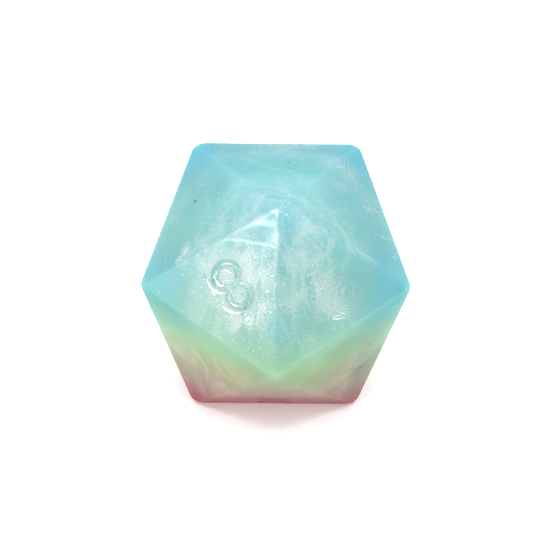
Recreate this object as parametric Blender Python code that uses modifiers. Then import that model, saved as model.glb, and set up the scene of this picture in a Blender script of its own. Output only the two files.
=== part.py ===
"""A twenty-sided gaming die, cast from four bonded colour pours around a liquid-filled core.

The die stands on one face at z = 0, with its centre on the Z axis and one lower corner towards -Y.
Lengths are in metres.
"""

import math

import bmesh
import bpy
from mathutils import Matrix, Vector

# Driving dimensions.
FACE_TO_FACE = 0.022
CORNER_CUT = 0.00102  # how far along each edge a corner's rounding reaches
EDGE_CUT = 0.00016  # how far from each edge its rounding reaches
GAP = 0.0003  # glue line between bonded pieces, and clearance around the liquid
NUMERAL_DEPTH = 0.00035
CORE_RADIUS = 0.0071
CORE_WALL = 0.0006
FILL_HOLE_RADIUS = 0.0009
PLUG_HEAD_RADIUS = 0.0014
PLUG_HEAD_HEIGHT = 0.0004
PLUG_STEM_LENGTH = 0.0012
LIQUID_LEVEL = 0.0052  # height of the liquid over the core's centre, below a small air bubble

# A regular icosahedron, from its edge.
GOLDEN = (1 + math.sqrt(5)) / 2
INRADIUS_PER_EDGE = GOLDEN**2 / (2 * math.sqrt(3))
EDGE = FACE_TO_FACE / (2 * INRADIUS_PER_EDGE)
CIRCUMRADIUS = EDGE * math.sqrt(GOLDEN * math.sqrt(5)) / 2
CENTRE = Vector((0, 0, FACE_TO_FACE / 2))

# Each pour's name, the height it is filled to, and its colour.
POURS = (
    ("rose_base_pour", 0.0046, (0.62, 0.10, 0.15)),
    ("green_lower_pour", 0.0110, (0.42, 0.66, 0.34)),
    ("aqua_upper_pour", 0.0173, (0.20, 0.62, 0.62)),
    ("blue_cap_pour", FACE_TO_FACE, (0.17, 0.50, 0.78)),
)

# The corners, by ring: name, height and azimuth in degrees. Rings are an even triangle each.
TOP_RING = {"TF": 270, "TR": 30, "TL": 150}
UPPER_RING = {"UB": 90, "UL": 210, "UR": 330}
OPPOSITE_CORNER = {"TF": "BB", "TR": "BL", "TL": "BR", "UB": "LF", "UL": "LR", "UR": "LL"}

# Half of the numerals: the face's corners, the first one being above the numeral. The other half
# lie opposite, so that each pair of opposite faces adds up to 21.
NUMERALS = {
    12: ("TF", "TR", "TL"),
    10: ("UL", "TF", "TL"),
    2: ("UR", "TF", "TR"),
    8: ("LF", "TF", "UL"),
    20: ("LF", "TF", "UR"),
    16: ("LF", "UL", "BL"),
    14: ("LF", "UR", "BR"),
    6: ("LF", "BL", "BR"),
    3: ("UL", "BL", "LL"),
    17: ("UL", "LL", "TL"),
}
OPPOSITE_SUM = 21
ONE_DIGIT_HEIGHT = 0.33 * EDGE
TWO_DIGIT_HEIGHT = 0.27 * EDGE
UNDERLINED = (6, 9)
# Numerals sit a little towards their feet, where the face is wider. The underlined ones are centred.
NUMERAL_DROP = 0.04 * EDGE
FONT_RESOLUTION = 4

SPHERE_SEGMENTS = 36
SPHERE_RINGS = 18
TURNED_STEPS = 32
MERGE = 1e-7


def clear_scene():
    for obj in list(bpy.data.objects):
        bpy.data.objects.remove(obj, do_unlink=True)


def new_collection(name, parent=None):
    collection = bpy.data.collections.new(name)
    (parent or bpy.context.scene.collection).children.link(collection)
    return collection


def new_material(name, colour, roughness, metallic=0.0, clarity=0.0):
    material = bpy.data.materials.new(name)
    material.use_nodes = True
    shader = material.node_tree.nodes["Principled BSDF"]
    shader.inputs["Base Color"].default_value = (*colour, 1)
    shader.inputs["Roughness"].default_value = roughness
    shader.inputs["Metallic"].default_value = metallic
    shader.inputs["Transmission Weight"].default_value = clarity
    material.diffuse_color = (*colour, 1)
    return material


def mesh_object(name, mesh, collection):
    obj = bpy.data.objects.new(name, mesh)
    collection.objects.link(obj)
    return obj


def as_cutter(obj):
    obj.hide_render = True
    obj.display_type = "WIRE"
    return obj


def corner_positions():
    """Each corner's place about the die's centre. The lower rings are the upper ones turned over."""
    places = {}
    for ring, radius in ((TOP_RING, EDGE / math.sqrt(3)), (UPPER_RING, GOLDEN * EDGE / math.sqrt(3))):
        height = math.sqrt(CIRCUMRADIUS**2 - radius**2)
        for name, azimuth in ring.items():
            angle = math.radians(azimuth)
            places[name] = Vector((radius * math.cos(angle), radius * math.sin(angle), height))
    places.update({low: -places[high] for high, low in OPPOSITE_CORNER.items()})
    return places


def blank_mesh():
    """The die's outer form: an icosahedron on one face, its corners and edges softened."""
    bm = bmesh.new()
    bmesh.ops.create_icosphere(bm, subdivisions=1, radius=CIRCUMRADIUS)
    bm.faces.ensure_lookup_table()
    base = bm.faces[0]
    down = base.normal.copy()
    back = (base.verts[0].co - base.calc_center_median()).normalized()
    found = Matrix((down, back, down.cross(back))).transposed()
    wanted = Matrix((Vector((0, 0, -1)), Vector((0, 1, 0)), Vector((1, 0, 0)))).transposed()
    bmesh.ops.transform(bm, matrix=(wanted @ found.inverted()).to_4x4(), verts=bm.verts)
    bmesh.ops.translate(bm, vec=CENTRE, verts=bm.verts)
    mesh = bpy.data.meshes.new("die_blank")
    bm.to_mesh(mesh)
    bm.free()
    return mesh


def add_rounding(obj):
    corners = obj.modifiers.new("round_corners", "BEVEL")
    corners.affect = "VERTICES"
    corners.limit_method = "NONE"
    corners.width = CORNER_CUT
    corners.segments = 3
    edges = obj.modifiers.new("round_edges", "BEVEL")
    edges.limit_method = "ANGLE"
    edges.angle_limit = math.radians(30)
    edges.width = EDGE_CUT
    edges.segments = 2


def add_boolean(obj, name, operation, cutter=None, collection=None):
    modifier = obj.modifiers.new(name, "BOOLEAN")
    modifier.operation = operation
    modifier.solver = "EXACT"
    if collection:
        modifier.operand_type = "COLLECTION"
        modifier.collection = collection
    else:
        modifier.object = cutter


def numeral_mesh(number):
    """A numeral as a solid in the XY plane, centred on the origin, twice as thick as it is deep."""
    text = bpy.data.curves.new(f"numeral_{number}", "FONT")
    text.body = str(number)
    text.resolution_u = FONT_RESOLUTION
    text.extrude = NUMERAL_DEPTH
    source = bpy.data.objects.new("numeral_text", text)
    bpy.context.scene.collection.objects.link(source)
    graph = bpy.context.evaluated_depsgraph_get()
    mesh = bpy.data.meshes.new_from_object(source.evaluated_get(graph))
    bpy.data.objects.remove(source, do_unlink=True)

    bm = bmesh.new()
    bm.from_mesh(mesh)
    bmesh.ops.remove_doubles(bm, verts=bm.verts, dist=MERGE)
    low, high = extent(bm)
    height = TWO_DIGIT_HEIGHT if number > 9 else ONE_DIGIT_HEIGHT
    scale = height / (high.y - low.y)
    middle = (low + high) / 2
    bmesh.ops.translate(bm, vec=-middle, verts=bm.verts)
    bmesh.ops.scale(bm, vec=(scale, scale, 1), verts=bm.verts)
    if number in UNDERLINED:
        bar = bmesh.ops.create_cube(bm, size=1)["verts"]
        bmesh.ops.scale(bm, vec=(0.62 * height, 0.1 * height, 2 * NUMERAL_DEPTH), verts=bar)
        bmesh.ops.translate(bm, vec=(0, -0.66 * height, 0), verts=bar)
    bmesh.ops.recalc_face_normals(bm, faces=bm.faces)
    bm.to_mesh(mesh)
    bm.free()
    return mesh


def extent(bm):
    low = Vector(min(v.co[axis] for v in bm.verts) for axis in range(3))
    high = Vector(max(v.co[axis] for v in bm.verts) for axis in range(3))
    return low, high


def numeral_cutters(collection):
    """One cutter over each face: half of it lies outside the face, so that it cuts its depth."""
    places = corner_positions()
    for number, names in NUMERALS.items():
        corners = [places[name] for name in names]
        for value, side in ((number, 1), (OPPOSITE_SUM - number, -1)):
            above, *others = [side * corner for corner in corners]
            middle = (above + others[0] + others[1]) / 3
            normal = middle.normalized()
            upward = (above - middle).normalized()
            across = upward.cross(normal)
            cutter = as_cutter(mesh_object(f"numeral_{value}", numeral_mesh(value), collection))
            turn = Matrix((across, upward, normal)).transposed().to_4x4()
            drop = 0 if value in UNDERLINED else NUMERAL_DROP
            cutter.matrix_world = Matrix.Translation(CENTRE + middle - upward * drop) @ turn


def slab_cutter(name, low, high, collection):
    """A square slab, wider than the die, that keeps what lies between two heights."""
    mesh = bpy.data.meshes.new(name)
    bm = bmesh.new()
    bmesh.ops.create_cube(bm, size=1)
    width = 4 * CIRCUMRADIUS
    bmesh.ops.scale(bm, vec=(width, width, high - low), verts=bm.verts)
    bm.to_mesh(mesh)
    bm.free()
    slab = as_cutter(mesh_object(name, mesh, collection))
    slab.location = (0, 0, (low + high) / 2)
    return slab


def arc(radius, start, stop, steps):
    """Points (x, z) on a circle about the origin, by angle from +Z, both ends included."""
    angles = [math.radians(start + (stop - start) * i / steps) for i in range(steps + 1)]
    return [(radius * math.sin(angle), radius * math.cos(angle)) for angle in angles]


def turned(name, profile, collection, closed=False):
    """A profile in XZ, listed down its outer side, turned about the Z axis through the core."""
    mesh = bpy.data.meshes.new(name)
    count = len(profile)
    edges = [(i, i + 1) for i in range(count - 1)]
    if closed:
        edges.append((count - 1, 0))
    mesh.from_pydata([(x, 0, z) for x, z in profile], edges, [])
    obj = mesh_object(name, mesh, collection)
    obj.location = CENTRE
    screw = obj.modifiers.new("turn", "SCREW")
    screw.steps = screw.render_steps = TURNED_STEPS
    screw.use_merge_vertices = True
    screw.merge_threshold = MERGE
    screw.use_smooth_shade = True
    return obj


def core_cavity_cutters(collection):
    """The room that the pours leave for the core: a ball, and a small pocket over its plug."""
    mesh = bpy.data.meshes.new("core_cavity")
    bm = bmesh.new()
    bmesh.ops.create_uvsphere(
        bm, u_segments=SPHERE_SEGMENTS, v_segments=SPHERE_RINGS, radius=CORE_RADIUS + GAP
    )
    bm.to_mesh(mesh)
    bm.free()
    ball = as_cutter(mesh_object("core_cavity", mesh, collection))
    ball.location = CENTRE

    mesh = bpy.data.meshes.new("plug_pocket")
    bm = bmesh.new()
    pocket_top = CORE_RADIUS + PLUG_HEAD_HEIGHT + 2 * GAP
    radius = PLUG_HEAD_RADIUS + GAP
    bmesh.ops.create_cone(
        bm, cap_ends=True, segments=TURNED_STEPS, radius1=radius, radius2=radius, depth=pocket_top
    )
    bm.to_mesh(mesh)
    bm.free()
    pocket = as_cutter(mesh_object("plug_pocket", mesh, collection))
    pocket.location = CENTRE + Vector((0, 0, pocket_top / 2))


def make_pours(parts, cutters):
    numerals = new_collection("numeral_cutters", cutters)
    cavity = new_collection("cavity_cutters", cutters)
    numeral_cutters(numerals)
    core_cavity_cutters(cavity)
    blank = blank_mesh()
    low = -CENTRE.z
    for index, (name, top, colour) in enumerate(POURS):
        last = index == len(POURS) - 1
        high = 2 * FACE_TO_FACE if last else top - GAP / 2
        pour = mesh_object(name, blank.copy(), parts)
        pour.data.name = name
        pour.data.materials.append(new_material(name, colour, roughness=0.08, clarity=0.6))
        add_rounding(pour)
        slab = slab_cutter(f"{name}_slab", low, high, cutters)
        add_boolean(pour, "keep_layer", "INTERSECT", cutter=slab)
        add_boolean(pour, "core_room", "DIFFERENCE", collection=cavity)
        add_boolean(pour, "engrave", "DIFFERENCE", collection=numerals)
        low = top + GAP / 2


def make_core(parts):
    """Two bonded shell halves, the plug of the fill hole, and the liquid, all about the centre."""
    inner = CORE_RADIUS - CORE_WALL
    shell = new_material("clear_shell", (0.86, 0.93, 0.94), roughness=0.05, clarity=0.9)
    steps = SPHERE_RINGS // 2

    def seam_angle(radius):
        return math.degrees(math.acos(GAP / 2 / radius))

    def hole_angle(radius):
        return math.degrees(math.asin(FILL_HOLE_RADIUS / radius))

    upper = arc(CORE_RADIUS, hole_angle(CORE_RADIUS), seam_angle(CORE_RADIUS), steps)
    upper += arc(inner, seam_angle(inner), hole_angle(inner), steps)
    upper_half = turned("core_shell_upper", upper, parts, closed=True)
    upper_half.data.materials.append(shell)

    lower_half = turned("core_shell_lower", bowl_profile(inner, steps), parts)
    lower_half.data.materials.append(shell)

    head_low = CORE_RADIUS + GAP / 2
    head_high = head_low + PLUG_HEAD_HEIGHT
    stem = FILL_HOLE_RADIUS - GAP
    plug = [
        (0, head_high),
        (PLUG_HEAD_RADIUS * 0.8, head_high),
        (PLUG_HEAD_RADIUS, head_high - PLUG_HEAD_HEIGHT * 0.5),
        (PLUG_HEAD_RADIUS, head_low),
        (stem, head_low),
        (stem, head_low - PLUG_STEM_LENGTH),
        (0, head_low - PLUG_STEM_LENGTH),
    ]
    plug_part = turned("fill_plug", plug, parts)
    plug_part.data.materials.append(new_material("cured_plug", (0.80, 0.90, 0.92), roughness=0.12))

    liquid_radius = inner - GAP
    surface_angle = math.degrees(math.acos(LIQUID_LEVEL / liquid_radius))
    liquid = [(0, LIQUID_LEVEL), *arc(liquid_radius, surface_angle, 180, SPHERE_RINGS - 3)]
    liquid[-1] = (0, -liquid_radius)
    liquid_part = turned("mica_liquid", liquid, parts)
    pearl = new_material("pearl_liquid", (0.70, 0.86, 0.86), roughness=0.25, metallic=0.3)
    liquid_part.data.materials.append(pearl)


def bowl_profile(inner, steps):
    """The lower shell half: from the seam down its outside to the axis, and up its inside."""
    outside = arc(CORE_RADIUS, 90 + math.degrees(math.asin(GAP / 2 / CORE_RADIUS)), 180, steps)
    outside[-1] = (0, -CORE_RADIUS)
    inside = arc(inner, 180, 90 + math.degrees(math.asin(GAP / 2 / inner)), steps)
    inside[0] = (0, -inner)
    return [*inside, *outside]


def main():
    clear_scene()
    parts = new_collection("polyhedral_die")
    cutters = new_collection("cutters")
    make_pours(parts, cutters)
    make_core(parts)
    base = bpy.data.objects.new("die_base", None)
    parts.objects.link(base)
    for part in parts.objects:
        if part.type != "EMPTY":
            part.parent = base


main()
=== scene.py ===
"""The looks of a twenty-sided resin die: milky tinted resin, poured in layers around a ball of mica liquid.

Lengths are in metres and angles in degrees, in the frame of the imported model, except where a comment says
otherwise. The die stands on the plane z = 0. Azimuth runs anticlockwise from the x axis, seen from above.
"""

import itertools
import math
import random

import bmesh
import bpy
from mathutils import Matrix, Vector, noise
from mathutils.bvhtree import BVHTree


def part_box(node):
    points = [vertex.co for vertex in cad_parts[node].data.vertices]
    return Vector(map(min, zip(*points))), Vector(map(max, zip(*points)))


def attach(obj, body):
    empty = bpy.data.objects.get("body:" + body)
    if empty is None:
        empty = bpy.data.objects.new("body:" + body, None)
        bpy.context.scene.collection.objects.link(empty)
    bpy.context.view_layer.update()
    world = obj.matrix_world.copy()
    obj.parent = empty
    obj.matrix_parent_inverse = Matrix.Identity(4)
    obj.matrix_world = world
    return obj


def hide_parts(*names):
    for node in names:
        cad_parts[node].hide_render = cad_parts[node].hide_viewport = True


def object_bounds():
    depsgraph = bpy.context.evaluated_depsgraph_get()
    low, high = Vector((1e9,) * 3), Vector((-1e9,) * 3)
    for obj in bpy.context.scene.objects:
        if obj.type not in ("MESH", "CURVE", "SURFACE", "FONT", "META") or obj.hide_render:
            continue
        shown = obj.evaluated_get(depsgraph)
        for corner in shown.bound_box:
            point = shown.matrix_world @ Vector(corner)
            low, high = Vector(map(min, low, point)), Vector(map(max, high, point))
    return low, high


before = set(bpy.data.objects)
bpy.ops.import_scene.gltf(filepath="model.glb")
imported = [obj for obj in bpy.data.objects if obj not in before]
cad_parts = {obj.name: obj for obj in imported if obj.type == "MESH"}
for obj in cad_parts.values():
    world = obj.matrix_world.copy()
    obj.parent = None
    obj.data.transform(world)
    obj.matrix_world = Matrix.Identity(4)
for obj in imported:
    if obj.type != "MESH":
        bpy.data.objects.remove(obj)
CAD_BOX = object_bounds()

MILLIMETRE = 0.001

# Sizes read from the frame.
HEIGHT = CAD_BOX[1][2] - CAD_BOX[0][2]
CENTRE = Vector((0, 0, CAD_BOX[0][2] + HEIGHT / 2))
GOLDEN = (1 + math.sqrt(5)) / 2
EDGE = HEIGHT * math.sqrt(3) / GOLDEN**2
CIRCUMRADIUS = EDGE * math.sqrt(GOLDEN * math.sqrt(5)) / 2
LIQUID_LOW, LIQUID_HIGH = (Vector(corner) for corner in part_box("mica_liquid"))
LIQUID_RADIUS = (LIQUID_HIGH.x - LIQUID_LOW.x) / 2
LIQUID_LEVEL = LIQUID_HIGH.z - CENTRE.z
LIQUID_SUBDIVISIONS = 6

POURS = ("rose_base_pour", "green_lower_pour", "aqua_upper_pour", "blue_cap_pour")

# Softening of the die's corners and edges.
CORNER_CUT = 0.074 * EDGE
CORNER_SEGMENTS = 5
EDGE_CUT = 0.011 * EDGE
EDGE_SEGMENTS = 4
# How far the surface turns at edges that are softened, and at those that then stay sharp.
SOFTENED_ANGLE = 20
CREASE_ANGLE = 50
# The resin stays this share under full size, so that flakes proud of it stay within the die's own box.
FLAKE_ROOM = 0.0014

# The die's upper corners by azimuth, in the ring about the top face and in the ring below it.
TOP_RING = {"TF": 270, "TR": 30, "TL": 150}
UPPER_RING = {"UB": 90, "UL": 210, "UR": 330}
# The lower corner that lies opposite each of them.
OPPOSITE_CORNER = {"TF": "BB", "TR": "BL", "TL": "BR", "UB": "LF", "UL": "LR", "UR": "LL"}

# Engraved numerals, each with its face's corners. The first is the corner above the numeral.
NUMERALS = {
    12: ("TF", "TR", "TL"),
    10: ("UL", "TF", "TL"),
    2: ("UR", "TF", "TR"),
    8: ("LF", "TF", "UL"),
    20: ("LF", "TF", "UR"),
    16: ("LF", "UL", "BL"),
    14: ("LF", "UR", "BR"),
    6: ("LF", "BL", "BR"),
    3: ("UL", "BL", "LL"),
    17: ("UL", "LL", "TL"),
}
OPPOSITE_SUM = 21
UNDERLINED = (6, 9)
ONE_DIGIT_HEIGHT = 0.33 * EDGE
TWO_DIGIT_HEIGHT = 0.27 * EDGE
# The height of a digit as a share of its font size.
DIGIT_SHARE = 0.72
# The bar under a numeral: its length, width and drop as shares of the numeral's height.
BAR_LENGTH, BAR_WIDTH, BAR_DROP = 0.62, 0.1, 0.66
NUMERAL_DROP = 0.04 * EDGE
# Numerals that sit off to one side, away from their third corner, and how far.
NUMERAL_SHIFT = {8: 0.0006}
# Numerals that lean, and how far anticlockwise.
NUMERAL_LEAN = {8: 8}
NUMERAL_DEPTH = 0.00016
# Numerals nearly filled with resin again, and how deep they still are.
FAINT = (2, 12, 10, 20, 6, 16, 14)
FAINT_DEPTH = 0.00003
# The slant of a numeral's walls as a share of its depth, and how far its outline draws in as a share of that.
WALL_DRAFT = 0.7
OUTLINE_DRAW = 0.6


# ------------------------ mesh helpers


def add_object(name, mesh):
    obj = bpy.data.objects.new(name, mesh)
    bpy.context.scene.collection.objects.link(obj)
    return obj


def mesh_from(bm, name):
    mesh = bpy.data.meshes.new(name)
    bm.to_mesh(mesh)
    bm.free()
    return mesh


def applied(obj, name):
    """A new mesh of the object with its modifiers applied. The object is removed."""
    graph = bpy.context.evaluated_depsgraph_get()
    mesh = bpy.data.meshes.new_from_object(obj.evaluated_get(graph))
    mesh.name = name
    bpy.data.objects.remove(obj, do_unlink=True)
    return mesh


def corner_positions():
    """Each corner's place about the die's centre. The lower rings are the upper ones turned over."""
    places = {}
    top_radius = EDGE / math.sqrt(3)
    for ring, radius in ((TOP_RING, top_radius), (UPPER_RING, GOLDEN * top_radius)):
        height = math.sqrt(CIRCUMRADIUS**2 - radius**2)
        for name, azimuth in ring.items():
            angle = math.radians(azimuth)
            places[name] = Vector((radius * math.cos(angle), radius * math.sin(angle), height))
    places.update({low: -places[high] for high, low in OPPOSITE_CORNER.items()})
    return places


CORNERS = corner_positions()


def face_normals():
    """The normals of all twenty faces. Three corners make a face where all are one edge apart."""
    found = []
    for a, b, c in itertools.combinations(CORNERS.values(), 3):
        if max((a - b).length, (b - c).length, (c - a).length) < 1.01 * EDGE:
            found.append(((a + b + c) / 3).normalized())
    return found


FACE_NORMALS = face_normals()
# The front left face, which carries the 8: its middle, its normal, and the ways up and to the right on it.
FRONT_MIDDLE = (CORNERS["TF"] + CORNERS["UL"] + CORNERS["LF"]) / 3
FRONT_NORMAL = FRONT_MIDDLE.normalized()
FRONT_RISE = ((CORNERS["TF"] + CORNERS["UL"]) / 2 - CORNERS["LF"]).normalized()
FRONT_ASIDE = FRONT_RISE.cross(FRONT_NORMAL)


# ------------------------ the resin body


def rounded_die():
    """The die without numerals, standing on a face, its corners and edges softened."""
    bm = bmesh.new()
    bmesh.ops.create_icosphere(bm, subdivisions=1, radius=CIRCUMRADIUS * (1 - FLAKE_ROOM))
    bm.faces.ensure_lookup_table()
    base = bm.faces[0]
    down = base.normal.copy()
    back = (base.verts[0].co - base.calc_center_median()).normalized()
    found = Matrix((down, back, down.cross(back))).transposed()
    wanted = Matrix((Vector((0, 0, -1)), Vector((0, 1, 0)), Vector((1, 0, 0)))).transposed()
    bmesh.ops.transform(bm, matrix=(wanted @ found.inverted()).to_4x4(), verts=bm.verts)
    bmesh.ops.translate(bm, vec=CENTRE, verts=bm.verts)
    obj = add_object("die_blank", mesh_from(bm, "die_blank"))
    corners = obj.modifiers.new("round_corners", "BEVEL")
    corners.affect = "VERTICES"
    corners.limit_method = "NONE"
    corners.width = CORNER_CUT
    corners.segments = CORNER_SEGMENTS
    edges = obj.modifiers.new("round_edges", "BEVEL")
    edges.limit_method = "ANGLE"
    edges.angle_limit = math.radians(SOFTENED_ANGLE)
    edges.width = EDGE_CUT
    edges.segments = EDGE_SEGMENTS
    return add_object("die_round", applied(obj, "die_round"))


def numeral_mesh(number):
    """A numeral as a solid with drafted walls, centred on the origin, its face at z = 0."""
    depth = FAINT_DEPTH if number in FAINT else NUMERAL_DEPTH
    draft = depth * WALL_DRAFT
    text = bpy.data.curves.new(f"numeral_{number}", "FONT")
    text.body = str(number)
    text.resolution_u = 8
    height = TWO_DIGIT_HEIGHT if number > 9 else ONE_DIGIT_HEIGHT
    text.size = height / DIGIT_SHARE
    text.extrude = depth - draft
    text.bevel_depth = draft
    text.bevel_resolution = 2
    text.offset = -draft * OUTLINE_DRAW
    mesh = applied(add_object("numeral_text", text), "numeral")
    bm = bmesh.new()
    bm.from_mesh(mesh)
    bmesh.ops.remove_doubles(bm, verts=bm.verts, dist=1e-7)
    low = Vector(min(v.co[axis] for v in bm.verts) for axis in range(3))
    high = Vector(max(v.co[axis] for v in bm.verts) for axis in range(3))
    scale = height / (high.y - low.y)
    bmesh.ops.translate(bm, vec=-(low + high) / 2, verts=bm.verts)
    bmesh.ops.scale(bm, vec=(scale, scale, 1), verts=bm.verts)
    if number in UNDERLINED:
        bar = bmesh.ops.create_cube(bm, size=1)["verts"]
        bmesh.ops.scale(bm, vec=(BAR_LENGTH * height, BAR_WIDTH * height, 2 * depth), verts=bar)
        bmesh.ops.translate(bm, vec=(0, -BAR_DROP * height, 0), verts=bar)
    bmesh.ops.recalc_face_normals(bm, faces=bm.faces)
    bm.to_mesh(mesh)
    bm.free()
    return mesh


def numeral_cutter():
    """All twenty numerals in one mesh, each half buried in its face."""
    joined = bmesh.new()
    for number, names in NUMERALS.items():
        corners = [CORNERS[name] for name in names]
        for value, side in ((number, 1), (OPPOSITE_SUM - number, -1)):
            above, *others = [side * corner for corner in corners]
            middle = (above + others[0] + others[1]) / 3
            normal = middle.normalized()
            upward = (above - middle).normalized()
            turn = Matrix((upward.cross(normal), upward, normal)).transposed().to_4x4()
            mesh = numeral_mesh(value)
            drop = 0 if value in UNDERLINED else NUMERAL_DROP
            aside = (middle - others[1]).normalized() * NUMERAL_SHIFT.get(value, 0)
            lean = Matrix.Rotation(math.radians(NUMERAL_LEAN.get(value, 0)), 4, "Z")
            mesh.transform(Matrix.Translation(CENTRE + middle - upward * drop + aside) @ turn @ lean)
            joined.from_mesh(mesh)
            bpy.data.meshes.remove(mesh)
    return add_object("numerals", mesh_from(joined, "numerals"))


def make_resin_body():
    die = rounded_die()
    cutter = numeral_cutter()
    engrave = die.modifiers.new("engrave", "BOOLEAN")
    engrave.operation = "DIFFERENCE"
    engrave.solver = "MANIFOLD"
    engrave.object = cutter
    body = add_object("resin_body", applied(die, "resin_body"))
    bpy.data.objects.remove(cutter, do_unlink=True)
    body.data.materials.clear()
    body.data.shade_smooth()
    body.data.set_sharp_from_angle(angle=math.radians(CREASE_ANGLE))
    weigh = body.modifiers.new("flat_faces", "WEIGHTED_NORMAL")
    weigh.keep_sharp = True
    weigh.weight = 100
    return body


# ------------------------ node helpers


class Graph:
    """A material's node tree, with short calls for the nodes it takes."""

    def __init__(self, name):
        self.material = bpy.data.materials.new(name)
        self.material.use_nodes = True
        self.tree = self.material.node_tree
        self.shader = self.tree.nodes["Principled BSDF"]

    def node(self, kind, **settings):
        made = self.tree.nodes.new(kind)
        for key, value in settings.items():
            setattr(made, key, value)
        return made

    def link(self, source, target):
        """Joins a node's output, a number or a tuple to a socket."""
        if isinstance(source, (int, float)):
            target.default_value = source
        elif isinstance(source, tuple):
            target.default_value = source if len(source) == len(target.default_value) else (*source, 1)
        else:
            self.tree.links.new(source, target)

    def math(self, operation, *values):
        made = self.node("ShaderNodeMath", operation=operation)
        for value, socket in zip(values, made.inputs):
            self.link(value, socket)
        return made.outputs[0]

    def highest(self, values):
        """The highest of one or more values."""
        first, *others = values
        for other in others:
            first = self.math("MAXIMUM", first, other)
        return first

    def mix(self, factor, first, second, blend="MIX"):
        made = self.node("ShaderNodeMix", data_type="RGBA", blend_type=blend)
        self.link(factor, made.inputs["Factor"])
        self.link(first, made.inputs[6])
        self.link(second, made.inputs[7])
        return made.outputs[2]

    def vector(self, operation, *values):
        made = self.node("ShaderNodeVectorMath", operation=operation)
        for value, socket in zip(values, made.inputs):
            self.link(value, socket)
        return made.outputs["Value" if operation in ("LENGTH", "DOT_PRODUCT", "DISTANCE") else "Vector"]

    def scaled(self, vector, factor):
        made = self.node("ShaderNodeVectorMath", operation="SCALE")
        self.link(vector, made.inputs[0])
        self.link(factor, made.inputs["Scale"])
        return made.outputs["Vector"]

    def position(self):
        return self.node("ShaderNodeTexCoord").outputs["Object"]

    def wobble(self, vector, scale, amount, detail=2.0):
        """The vector, pushed about by noise of up to about half the amount."""
        made = self.node("ShaderNodeTexNoise")
        self.link(vector, made.inputs["Vector"])
        made.inputs["Scale"].default_value = scale
        made.inputs["Detail"].default_value = detail
        shift = self.vector("SUBTRACT", made.outputs["Color"], (0.5, 0.5, 0.5))
        return self.vector("ADD", vector, self.scaled(shift, amount))

    def xyz(self, vector):
        made = self.node("ShaderNodeSeparateXYZ")
        self.link(vector, made.inputs[0])
        return made.outputs

    def drawn_out(self, vector, share):
        """The vector with its height cut to a share, which draws a pattern out upwards."""
        made = self.node("ShaderNodeMapping")
        self.link(vector, made.inputs["Vector"])
        made.inputs["Scale"].default_value = (1, 1, share)
        return made.outputs[0]

    def noise(self, vector, scale, detail=3.0, rough=0.5):
        made = self.node("ShaderNodeTexNoise")
        self.link(vector, made.inputs["Vector"])
        made.inputs["Scale"].default_value = scale
        made.inputs["Detail"].default_value = detail
        made.inputs["Roughness"].default_value = rough
        return made.outputs["Fac"]

    def ramp(self, factor, stops, mode="LINEAR"):
        made = self.node("ShaderNodeValToRGB")
        made.color_ramp.interpolation = mode
        elements = made.color_ramp.elements
        while len(elements) < len(stops):
            elements.new(0.5)
        for element, (place, colour) in zip(elements, stops):
            element.position = place
            element.color = (*colour, 1)
        self.link(factor, made.inputs[0])
        return made.outputs[0]

    def range(self, value, low, high, to_low=0.0, to_high=1.0, smooth=False):
        made = self.node("ShaderNodeMapRange")
        made.interpolation_type = "SMOOTHSTEP" if smooth else "LINEAR"
        self.link(value, made.inputs["Value"])
        made.inputs["From Min"].default_value = low
        made.inputs["From Max"].default_value = high
        made.inputs["To Min"].default_value = to_low
        made.inputs["To Max"].default_value = to_high
        return made.outputs[0]


def srgb(red, green, blue):
    """A linear colour from values between 0 and 255."""
    def linear(value):
        value /= 255
        return value / 12.92 if value <= 0.04045 else ((value + 0.055) / 1.055) ** 2.4

    return tuple(linear(value) for value in (red, green, blue))


# ------------------------ materials


# The resin: how much light passes through it, how hazy that is, how far light bleeds and how it bends.
CLARITY = 0.5
HAZE = 0.2
BLEED = 0.004
RESIN_IOR = 1.5
# How far the faces shade like a ball, and the shares of the corners' distance between which that rises to 1.
ROUNDNESS = 0.85
ROUND_CORNERS = (0.83, 0.95)
# The gloss coat. Each entry has two values and the coat's strengths there. The values are the climb of the
# normal, low down and on top, and how far the face turns away from the viewer.
LOW_GLOSS = (-0.36, 0.2, 0.12, 1.0)
TOP_GLOSS = (0.76, 0.98, 1.0, 0.35)
GLANCING_GLOSS = (0.35, 0.6, 1.0, 0.15)

# How far the colours step, in shares of the height, over the girdle and onto the three low faces.
GIRDLE_STEP = 0.03
LOW_STEP = 0.02
# Each step is blurred over twice this distance.
STEP_BLUR = 0.0010
# The climb of the normals of the girdle's upper faces, its lower faces, and the three low faces below them.
UPPER_FACES, LOWER_FACES, LOW_FACES = (0.2, 0.5), (-0.5, -0.2), (-0.9, -0.6)
# How far the colours tilt from side to side and drift, in shares of the height, and the drift's scale.
TILT = 0.04
DRIFT = 0.03
DRIFT_SCALE = 160
# The lowest and the highest level on the run of colours: 0 is the die's base and 1 its top.
LEVELS = (-0.1, 1.0)

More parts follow.
